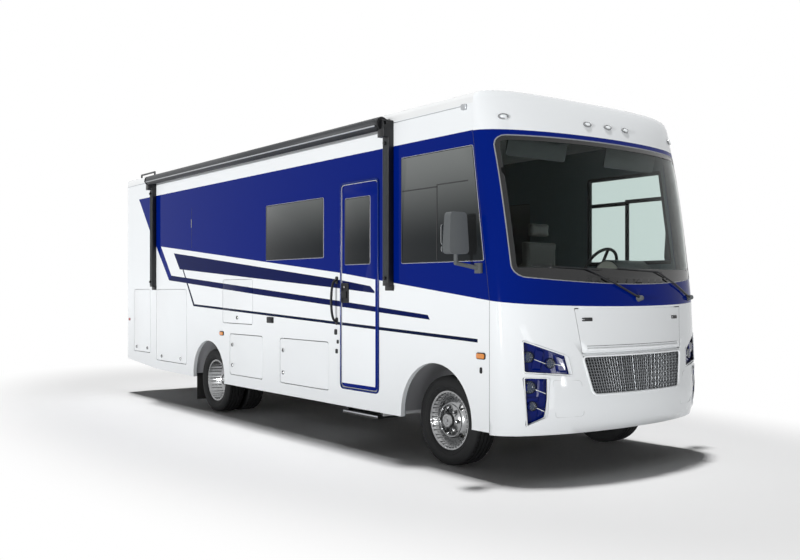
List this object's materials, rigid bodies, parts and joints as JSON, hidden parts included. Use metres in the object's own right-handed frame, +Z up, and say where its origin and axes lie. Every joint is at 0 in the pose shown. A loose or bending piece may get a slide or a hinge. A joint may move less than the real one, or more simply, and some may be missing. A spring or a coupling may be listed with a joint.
{
  "type": "motorhome",
  "caption": "Front-engined motorhome with a flat-sided coach body, raked one-piece windshield, side entry door, storage hatches, roof awning and twin rear wheels.",
  "frame": {"origin": "on the ground under the middle of the whole vehicle", "axes": "+X forward, +Y to the driver's side, +Z up"},
  "size_m": [8.6999, 3.161, 3.485],
  "materials": {
    "frame_paint": "satin",
    "cast_iron": "rough",
    "tank_plastic": "matte",
    "spring_steel": "satin",
    "floor_board": "satin",
    "bay_plastic": "matte",
    "liner_plastic": "matte",
    "body_panel": "gloss",
    "roof_skin": "satin",
    "clear_glass": "polished",
    "tinted_glass": "polished",
    "grille_metal": "satin",
    "lamp_inset": "gloss",
    "lamp_red": "gloss",
    "awning_fabric": "woven",
    "black_aluminium": "powder coated",
    "mirror_plastic": "fine grain",
    "white_plastic": "satin",
    "black_plastic": "satin",
    "dash_vinyl": "grained",
    "seat_fabric": "soft",
    "flap_rubber": "matte",
    "tyre": "matte",
    "wheel_chrome": "polished"
  },
  "bodies": {
    "coach": {"chassis_frame": "frame_paint", "engine_block": "cast_iron", "drive_shaft": "frame_paint", "fuel_tank": "tank_plastic", "front_axle": "frame_paint", "rear_axle": "frame_paint", "leaf_springs": "spring_steel", "floor": "floor_board", "storage_bays": "bay_plastic", "wheel_liners": "liner_plastic", "right_wall": "body_panel", "left_wall": "body_panel", "rear_cap": "body_panel", "roof": "roof_skin", "front_cap": "body_panel", "windshield": "clear_glass", "side_windows": "tinted_glass", "grille": "grille_metal", "headlights": "lamp_inset", "tail_lamps": "lamp_red", "awning_roller": "awning_fabric", "awning_arms": "black_aluminium", "mirrors": "mirror_plastic", "ladder": "black_aluminium", "hitch_receiver": "frame_paint", "roof_units": "white_plastic", "wipers": "black_plastic", "dashboard": "dash_vinyl", "steering_wheel": "black_plastic", "cab_seats": "seat_fabric", "mud_flaps": "flap_rubber", "grab_handle": "black_plastic"},
    "front_left_knuckle": {"knuckle_left": "frame_paint"},
    "front_right_knuckle": {"knuckle_right": "frame_paint"},
    "front_left_wheel": {"tyre_front_left": "tyre", "wheel_front_left": "wheel_chrome"},
    "front_right_wheel": {"tyre_front_right": "tyre", "wheel_front_right": "wheel_chrome"},
    "rear_left_wheels": {"tyres_rear_left": "tyre", "wheels_rear_left": "wheel_chrome"},
    "rear_right_wheels": {"tyres_rear_right": "tyre", "wheels_rear_right": "wheel_chrome"},
    "hood": {"hood": "body_panel"},
    "entry_door": {"entry_door": "body_panel", "entry_door_window": "tinted_glass"},
    "entry_step": {"entry_step": "black_aluminium"},
    "tail_hatch": {"tail_hatch": "body_panel"},
    "rear_hatch": {"rear_hatch": "body_panel"},
    "access_hatch": {"access_hatch": "body_panel"},
    "bay_door_rear": {"bay_door_rear": "body_panel"},
    "bay_door_front": {"bay_door_front": "body_panel"},
    "left_bay_door_rear": {"left_bay_door_rear": "body_panel"},
    "left_bay_door_front": {"left_bay_door_front": "body_panel"}
  },
  "joints": [
    {"name": "steer_left", "type": "hinge", "parent": "coach", "child": "front_left_knuckle", "pos_m": [3.1, 0.86, 0.398], "axis": [0, 0, 1], "range_deg": [-35, 35]},
    {"name": "steer_right", "type": "hinge", "parent": "coach", "child": "front_right_knuckle", "pos_m": [3.1, -0.86, 0.398], "axis": [0, 0, 1], "range_deg": [-35, 35]},
    {"name": "roll_front_left", "type": "hinge", "parent": "front_left_knuckle", "child": "front_left_wheel", "pos_m": [3.1, 1.008, 0.398], "axis": [0, 1, 0], "continuous": true},
    {"name": "roll_front_right", "type": "hinge", "parent": "front_right_knuckle", "child": "front_right_wheel", "pos_m": [3.1, -1.008, 0.398], "axis": [0, 1, 0], "continuous": true},
    {"name": "roll_rear_left", "type": "hinge", "parent": "coach", "child": "rear_left_wheels", "pos_m": [-1.39, 0.938, 0.398], "axis": [0, 1, 0], "continuous": true},
    {"name": "roll_rear_right", "type": "hinge", "parent": "coach", "child": "rear_right_wheels", "pos_m": [-1.39, -0.938, 0.398], "axis": [0, 1, 0], "continuous": true},
    {"name": "entry_door_swing", "type": "hinge", "parent": "coach", "child": "entry_door", "pos_m": [2.296, -1.2775, 1.6], "axis": [0, 0, 1], "range_deg": [0, 90]},
    {"name": "step_slide", "type": "slide", "parent": "coach", "child": "entry_step", "axis": [0, -1, 0], "range_m": [0, 0.25]},
    {"name": "tail_hatch_lift", "type": "hinge", "parent": "coach", "child": "tail_hatch", "pos_m": [-3.626, -1.2775, 1.549], "axis": [-1, 0, 0], "range_deg": [0, 90]},
    {"name": "rear_hatch_lift", "type": "hinge", "parent": "coach", "child": "rear_hatch", "pos_m": [-2.574, -1.2775, 1.549], "axis": [-1, 0, 0], "range_deg": [0, 90]},
    {"name": "access_hatch_lift", "type": "hinge", "parent": "coach", "child": "access_hatch", "pos_m": [-0.607, -1.2775, 1.668], "axis": [-1, 0, 0], "range_deg": [0, 90]},
    {"name": "bay_door_rear_swing", "type": "hinge", "parent": "coach", "child": "bay_door_rear", "pos_m": [0.018, -1.2775, 0.77], "axis": [0, 0, 1], "range_deg": [0, 90]},
    {"name": "bay_door_front_swing", "type": "hinge", "parent": "coach", "child": "bay_door_front", "pos_m": [1.412, -1.2775, 0.77], "axis": [0, 0, 1], "range_deg": [0, 90]},
    {"name": "left_bay_door_rear_swing", "type": "hinge", "parent": "coach", "child": "left_bay_door_rear", "pos_m": [0.018, 1.2775, 0.77], "axis": [0, 0, -1], "range_deg": [0, 90]},
    {"name": "left_bay_door_front_swing", "type": "hinge", "parent": "coach", "child": "left_bay_door_front", "pos_m": [1.412, 1.2775, 0.77], "axis": [0, 0, -1], "range_deg": [0, 90]},
    {"name": "hood_lift", "type": "hinge", "parent": "coach", "child": "hood", "pos_m": [4.28, 0, 1.399], "axis": [0, -1, 0], "range_deg": [0, 70]}
  ],
  "couplings": [
    {"joint": "steer_right", "follows": "steer_left", "ratio": 1}
  ]
}
